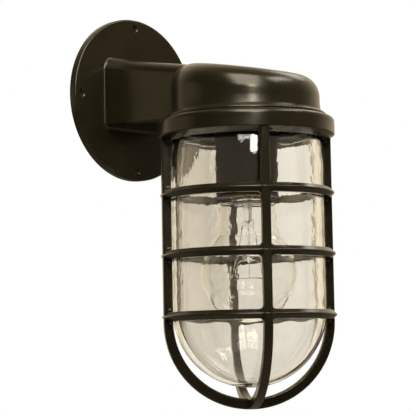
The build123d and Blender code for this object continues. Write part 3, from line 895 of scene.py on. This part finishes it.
@dataclass
class Bulb:
    """The bulb's threaded base and coiled filament."""

    base_wall: float = 0.35 * MM
    base_thread: Thread = Thread(3.63 * MM, 0.8 * MM, 2.2 * MM)
    filament_turn: float = 44.0
    filament_sweep: float = 210.0
    coil_turns: int = 62
    coil_steps: int = 14
    coil_wire: float = 0.11 * MM
    wire_sides: int = 6

    def base(self) -> None:
        """Make the threaded base: a thin shell whose outer and inner walls follow the thread."""
        made = threaded_tube("bulb_screw_base", "bulb_base", self.base_wall, self.base_thread, 1.0)
        settle(made, "bulb", "brass", "bulb_base")

    def filament(self) -> None:
        """Make the coil: a thin tube round a helix that follows the filament's open circle."""
        low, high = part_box("bulb_filament")
        centre = lamp_centre()
        level = (low.z + high.z) / 2
        half = (high.z - low.z) / 2
        coil = half - self.coil_wire
        radius = high.x - centre[0] - half
        low_turn = self.filament_turn + (360 - self.filament_sweep) / 2
        share = np.linspace(0.0, 1.0, self.coil_turns * self.coil_steps + 1)
        turn = np.radians(low_turn + self.filament_sweep * share)
        spin = FULL_TURN * self.coil_turns * share
        out = radius + coil * np.cos(spin)
        path = np.stack([out * np.cos(turn), out * np.sin(turn), level + coil * np.sin(spin)], -1)
        path[:, :2] += centre
        made = grid_mesh("filament_coil", tube(path, self.coil_wire, self.wire_sides), (True, True))
        settle(made, "bulb", "tungsten", "bulb_filament")

    def build(self) -> None:
        """Make the bulb's pieces."""
        self.base()
        self.filament()


@dataclass(frozen=True)
class Bead:
    """Raised thread on a round wall: a thin tube round a helix that rises by the pitch with each turn."""

    name: str
    slot: str
    pitch: float
    thickness: float
    steps_per_turn: int = 60
    sides: int = 12

    def build(self, radius: float, low: float, high: float) -> None:
        """Make the bead, half of it in the wall.

        Args:
            radius: the wall's radius.
            low: lower end of the helix.
            high: upper end of the helix.
        """
        centre = lamp_centre()
        steps = round((high - low) / self.pitch * self.steps_per_turn)
        height = np.linspace(low, high, steps + 1)
        turn = FULL_TURN * height / self.pitch
        path = np.stack([centre[0] + radius * np.cos(turn), centre[1] + radius * np.sin(turn), height], -1)
        made = grid_mesh(self.name, tube(path, self.thickness / 2, self.sides), (True, True))
        settle(made, "bracket", self.slot)


@dataclass
class Threads:
    """Threads of the bracket: on the hood's spigot, on the nipple and inside the screw shell."""

    spigot_radius: float = 58.8 * MM
    spigot_length: float = 7.0 * MM
    spigot_bead: Bead = Bead("spigot_thread", "bronze", 3.0 * MM, 0.4 * MM)
    nipple_wall: float = 1.6 * MM
    nipple_thread: Thread = Thread(1.0 * MM, 0.45 * MM, 1.0 * MM)
    shell_wall: float = 0.7 * MM
    shell_depth: float = 19.0 * MM
    shell_bead: Bead = Bead("shell_thread", "brass", 3.63 * MM, 0.9 * MM)

    def nipple(self) -> None:
        """Make the nipple, whose inner wall is plain."""
        made = threaded_tube("threaded_nipple", "socket_nipple", self.nipple_wall, self.nipple_thread, 0.0)
        settle(made, "bracket", "zinc_steel", "socket_nipple")

    def build(self) -> None:
        """Make the threads, with the spigot's kept clear of both its ends."""
        self.nipple()
        low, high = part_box("screw_shell")
        bore = (high.x - low.x) / 2 - self.shell_wall
        self.shell_bead.build(bore, low.z + self.shell_bead.thickness, low.z + self.shell_depth)
        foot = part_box("head_seal")[1].z
        clear = 2 * self.spigot_bead.thickness
        self.spigot_bead.build(self.spigot_radius, foot + clear, foot + self.spigot_length - clear)


class Polish(Enum):
    """The angle at which smooth shading is cut."""

    round_edges = radians(32.0)
    hard_edges = radians(20.0)


def even_normals(node: bpy.types.Object, polish: Polish) -> None:
    """Merge loose triangles, part them at real edges and even out the normals, all by modifiers.

    Args:
        node: the object.
        polish: the angle at which an edge is real.
    """
    shade_smooth(node.data)
    weld = node.modifiers.new("merge", "WELD")
    weld.merge_threshold = WELD_GAP
    part = node.modifiers.new("part", "EDGE_SPLIT")
    part.split_angle = polish.value
    even = node.modifiers.new("even", "WEIGHTED_NORMAL")
    even.keep_sharp = True


class Facing(Enum):
    """Which way a screw's head looks."""

    up = 1.0
    down = -1.0


@dataclass(frozen=True)
class ScrewSet:
    """Slotted screws of one node, in rows that fill the node's box."""

    node: str
    head_radius: float
    head_height: float
    shank_radius: float
    places: tuple[int, int]
    facing: Facing = Facing.up
    slot_width: float = 0.8 * MM
    slot_edge: float = 0.08 * MM
    slot_turn: float = 0.4
    slot_share: float = 0.6
    dome_share: float = 2 / 3
    dome_points: int = 17
    rim_step: float = 0.2 * MM
    seat_step: float = 0.4 * MM
    shank_step: float = 0.16 * MM
    tip_step: float = 0.5 * MM
    columns: int = 48
    thread: Thread = Thread(0.8 * MM, 0.22 * MM, 0.6 * MM)

    def profile(self, length: float) -> Array:
        """Half outline from the middle of the head over its rim and down the shank.

        The head is the cap of a ball that falls by a share of the head's height.

        Args:
            length: the shank's length.

        Returns:
            The points.
        """
        fall = self.head_height * self.dome_share
        ball = (self.head_radius**2 + fall**2) / (2 * fall)
        reach = np.linspace(0.0, self.head_radius, self.dome_points)
        rim = self.head_radius
        shank = self.shank_radius
        return join(
            np.stack([reach, self.head_height - ball + np.sqrt(ball**2 - reach**2)], -1),
            run((rim, self.head_height - fall), (rim, 0.0), self.rim_step),
            run((rim, 0.0), (shank, 0.0), self.seat_step),
            run((shank, 0.0), (shank, -length), self.shank_step),
            run((shank, -length), (0.0, -length), self.tip_step),
        )

    def grid(self, length: float) -> Array:
        """Turn the outline and cut the slot.

        Within half the slot's width of a line across the head, the height is held down to the
        slot's floor. The shank's radius swings with its thread.

        Args:
            length: the shank's length.

        Returns:
            The grid of points, about its own axis and with the head upwards.
        """
        profile = self.profile(length)
        turn = turns(self.columns)
        moved = spread(profile, self.columns)
        across = np.abs(profile[:, None, 0] * np.sin(turn + self.slot_turn))
        half = self.slot_width / 2
        cut = 1 - smooth(across, half - self.slot_edge, half + self.slot_edge)
        moved[..., 1] = np.minimum(moved[..., 1], self.head_height * (1 - self.slot_share * cut))
        on_shank = (profile[:, 1] < 0) & (profile[:, 0] > self.shank_radius - SAME_POINT)
        moved[..., 0] += self.thread.offset(turn, profile[:, 1], -length, 0.0) * on_shank[:, None]
        return lathe(moved, self.columns, (0.0, 0.0))

    def build(self, slot: str) -> None:
        """Make the screws.

        Args:
            slot: the record's material slot.
        """
        low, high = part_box(self.node)
        length = high.z - low.z - self.head_height
        seat = high.z - self.head_height if self.facing is Facing.up else low.z + self.head_height
        shape = self.grid(length) * np.array([1.0, 1.0, self.facing.value])
        spots = [
            np.linspace(start + self.head_radius, end - self.head_radius, count)
            for start, end, count in zip(low, high, self.places)
        ]
        for number, (x, y) in enumerate(np.stack(np.meshgrid(*spots), -1).reshape(-1, 2)):
            made = grid_mesh(f"{self.node}_{number + 1}", shape + np.array([x, y, seat]), (True, True))
            settle(made, "bracket", slot, self.node)
            even_normals(made, Polish.round_edges)


@dataclass
class Fastenings:
    """All slotted screws of the lamp."""

    sets: tuple[ScrewSet, ...] = (
        ScrewSet("strap_screws", 3.8 * MM, 2.4 * MM, 2.0 * MM, (2, 1), Facing.down, 1.0 * MM),
        ScrewSet("block_screws", 2.6 * MM, 1.8 * MM, 1.5 * MM, (2, 1)),
        ScrewSet("earth_screw", 2.6 * MM, 1.8 * MM, 2.0 * MM, (1, 1)),
        ScrewSet("terminal_screws", 1.7 * MM, 0.8 * MM, 1.7 * MM, (3, 2)),
    )

    def build(self) -> None:
        """Make each set with the finish of its node."""
        slots = record_slots()
        for screws in self.sets:
            screws.build(slots[screws.node])


@dataclass
class Castings:
    """The nodes that keep their own shape and get a finish."""

    smooth_nodes: tuple[str, ...] = ("wall_bracket", "cage_guard", "bulb_envelope", "bulb_stem")
    own_finish: dict[str, str] = field(default_factory=lambda: {"bulb_stem": "stem_glass"})

    def build(self) -> None:
        """Dress each node that is still shown with its slot's finish and even normals."""
        slots = record_slots()
        for name, node in frame["nodes"].items():
            if node.hide_render:
                continue
            node.data.materials.clear()
            node.data.materials.append(Coat[self.own_finish.get(name, slots[name])].value.material())
            polish = Polish.round_edges if name in self.smooth_nodes else Polish.hard_edges
            even_normals(node, polish)
            LOG.info("%s keeps its shape, finish %s", name, slots[name])


def direction(azimuth: float, elevation: float) -> Vector:
    """Direction from the object to a viewer: azimuth 0 is in front of it, on the -Y side.

    Args:
        azimuth: angle round the upright axis in degrees.
        elevation: angle above the horizon in degrees.

    Returns:
        A unit vector.
    """
    a = radians(azimuth)
    e = radians(elevation)
    return Vector((sin(a) * cos(e), -cos(a) * cos(e), sin(e)))


@dataclass(frozen=True)
class SoftBox:
    """A soft lamp that faces the object, set by its direction and its brightness."""

    name: str
    azimuth: float
    elevation: float
    width: float
    height: float
    brightness: float
    colour: Colour = (1.0, 0.98, 0.95)
    distance: float = 1.8

    def build(self, target: Vector) -> None:
        """Hang the lamp.

        Args:
            target: the point that it faces.
        """
        light = bpy.data.lights.new(self.name, "AREA")
        light.shape = "RECTANGLE"
        light.size = self.width
        light.size_y = self.height
        light.energy = self.brightness * pi * self.width * self.height
        light.color = self.colour
        made = add_object(self.name, light)
        back = direction(self.azimuth, self.elevation)
        made.location = target + self.distance * back
        made.rotation_mode = "QUATERNION"
        made.rotation_quaternion = (-back).to_track_quat("-Z", "Y")
        made.visible_camera = False


@dataclass
class Studio:
    """Camera, soft lamps, white surround and pale floor."""

    azimuth: float = -46.157
    elevation: float = -5.075
    roll: float = -1.036
    distance: float = 1.243895
    focal_pixels: float = 1729.306
    near_clip: float = 0.01
    far_clip: float = 50.0
    target: tuple[float, float, float] = (-41.979 * MM, -122.943 * MM, -96.166 * MM)
    lamp_target_height: float = -70.0 * MM
    softboxes: tuple[SoftBox, ...] = (
        SoftBox("key_softbox", -42.157, 47.0, 1.1, 1.65, 7.0),
        SoftBox("small_softbox", 34.0, 54.0, 1.0, 0.35, 9.0, (1.0, 0.97, 0.92)),
        SoftBox("low_softbox", -36.0, 20.0, 0.25, 0.35, 22.0),
        SoftBox("side_softbox", 100.0, 45.0, 0.6, 0.5, 3.0),
    )
    floor_height: float = -1.6
    floor_half: float = 12.0
    floor_points: int = 9
    surround: float = 0.1
    far_side: Colour = (0.65, 0.62, 0.56)
    far_least: float = 0.5
    room_colour: Colour = (1.0, 0.84, 0.58)
    inside_colour: Colour = (1.0, 0.9, 0.72)
    low_dim: float = 0.13
    room_dim: float = 0.03
    room_left: float = 0.5
    room_right: float = 0.16
    room_above: float = 0.25
    room_inside: float = 0.7
    # Spans of the cosine to a direction, from no effect to the full one.
    front_span: Span = (-0.9, -0.05)
    left_span: Span = (0.9, 1.0)
    right_span: Span = (0.6, 1.0)
    above_span: Span = (0.75, 1.0)
    rise_span: Span = (-0.02, 0.12)
    bright_span: Span = (-0.055, 0.02)

    def camera(self) -> None:
        """Set the camera where the photograph was taken from."""
        back = direction(self.azimuth, self.elevation)
        right = (-back).cross(Vector((0, 0, 1))).normalized()
        up = right.cross(-back)
        turn = radians(self.roll)
        across = cos(turn) * right + sin(turn) * up
        upward = -sin(turn) * right + cos(turn) * up
        data = bpy.data.cameras.new("photo_camera")
        data.sensor_width = SENSOR
        data.lens = self.focal_pixels * SENSOR / IMAGE_SIDE
        data.clip_start = self.near_clip
        data.clip_end = self.far_clip
        made = add_object("photo_camera", data)
        turned = Matrix((across, upward, back)).transposed().to_4x4()
        made.matrix_world = Matrix.Translation(Vector(self.target) + self.distance * back) @ turned
        bpy.context.scene.camera = made

    def lamps(self) -> None:
        """Hang the soft lamps."""
        target = Vector((*lamp_centre(), self.lamp_target_height))
        for softbox in self.softboxes:
            softbox.build(target)

    def world(self) -> None:
        """Make the surround, by what a path of light has met before it gets there.

        A path with no bounce sees white. Where glass bends it, the white falls off to a warm tone
        on the far side and dims a little downwards. A path that gloss has bounced sees a room:
        white behind the lamp, dim on the side of the camera, lighter at its sides and above, and
        brighter and less warm for paths that have been through glass. Any other path gets a soft
        even light.
        """
        world = bpy.data.worlds.new("white_surround")
        world.use_nodes = True
        graph = Graph(world.node_tree)
        path = graph.node("ShaderNodeLightPath")
        spot = graph.output(graph.node("ShaderNodeTexCoord"), "Generated")

        def share(azimuth: float, elevation: float, span: Span) -> Value:
            """Smooth step over the cosine between the path and a direction.

            Args:
                azimuth: the direction's azimuth in degrees.
                elevation: its elevation in degrees.
                span: the cosines that give 0 and 1.

            Returns:
                The share.
            """
            inputs = {0: spot, 1: tuple(direction(azimuth, elevation))}
            product = graph.node("ShaderNodeVectorMath", {"operation": "DOT_PRODUCT"}, inputs)
            return graph.output(product, "Value").ease(*span)

        def met(depth: str) -> Value:
            """0 before the path's first bounce of a kind, and 1 from there on."""
            return graph.output(path, depth).ease(0.0, 1.0)

        gloss = met("Glossy Depth")
        inside = met("Transmission Depth")
        clear = (1 - gloss) * (1 - met("Diffuse Depth"))
        through = clear * graph.output(path, "Is Transmission Ray")
        behind = 1 - share(self.azimuth, 0.0, self.front_span)
        left = share(self.azimuth - RIGHT_ANGLE, 0.0, self.left_span)
        right = share(self.azimuth + RIGHT_ANGLE, 0.0, self.right_span)
        above = share(0.0, RIGHT_ANGLE, self.above_span)
        rise = share(0.0, RIGHT_ANGLE, self.rise_span)
        bright = share(self.azimuth + RIGHT_ANGLE, 0.0, self.bright_span)
        near = self.room_dim + self.room_inside * inside
        sides = self.room_left * left + self.room_right * right + self.room_above * above
        room = near * (1 - behind) + behind + sides
        fall = through * (self.far_least + (1 - self.far_least) * rise) * (1 - bright)
        white = graph.blend(fall, WHITE, self.far_side)
        walls = graph.blend(inside, self.room_colour, self.inside_colour)
        colour = graph.blend(gloss, white, walls)
        open_air = clear * (1 - self.low_dim * through * (1 - rise))
        strength = open_air + (1 - clear) * (gloss * room + (1 - gloss) * self.surround)
        shade = graph.node("ShaderNodeBackground", None, {"Color": colour, "Strength": strength})
        graph.node("ShaderNodeOutputWorld", None, {"Surface": graph.output(shade)})
        bpy.context.scene.world = world

    def floor(self) -> None:
        """Lay the floor: a flat square grid of points far below the lamp, with a pale plain paint."""
        side = np.linspace(-self.floor_half, self.floor_half, self.floor_points)
        x, y = np.meshgrid(side, side)
        points = np.stack([x, y, np.full_like(x, self.floor_height)], -1).reshape(-1, 3)
        index = np.arange(x.size).reshape(x.shape)
        corners = [index[:-1, :-1], index[:-1, 1:], index[1:, 1:], index[1:, :-1]]
        quads = np.stack(corners, -1).reshape(-1, 4)
        mesh = bpy.data.meshes.new("floor")
        mesh.from_pydata(points.tolist(), [], quads.tolist())
        made = add_object("floor", mesh)
        mesh.materials.append(FloorPaint("floor_paint").material())

    def build(self) -> None:
        """Set up the whole studio."""
        bpy.context.scene.view_settings.view_transform = "Standard"
        self.camera()
        self.lamps()
        self.world()
        self.floor()


def write_sizes() -> None:
    """Update the view layer."""
    bpy.context.view_layer.update()


def main() -> None:
    """Build the pieces, dress the nodes and set up the studio."""
    logging.basicConfig(level=logging.INFO, format="%(name)s %(message)s")
    for sub_assembly in (Jar(), Bulb(), Threads(), Fastenings(), Castings(), Studio()):
        LOG.info("building %s", type(sub_assembly).__name__)
        sub_assembly.build()
    write_sizes()


if __name__ == "__main__":
    main()
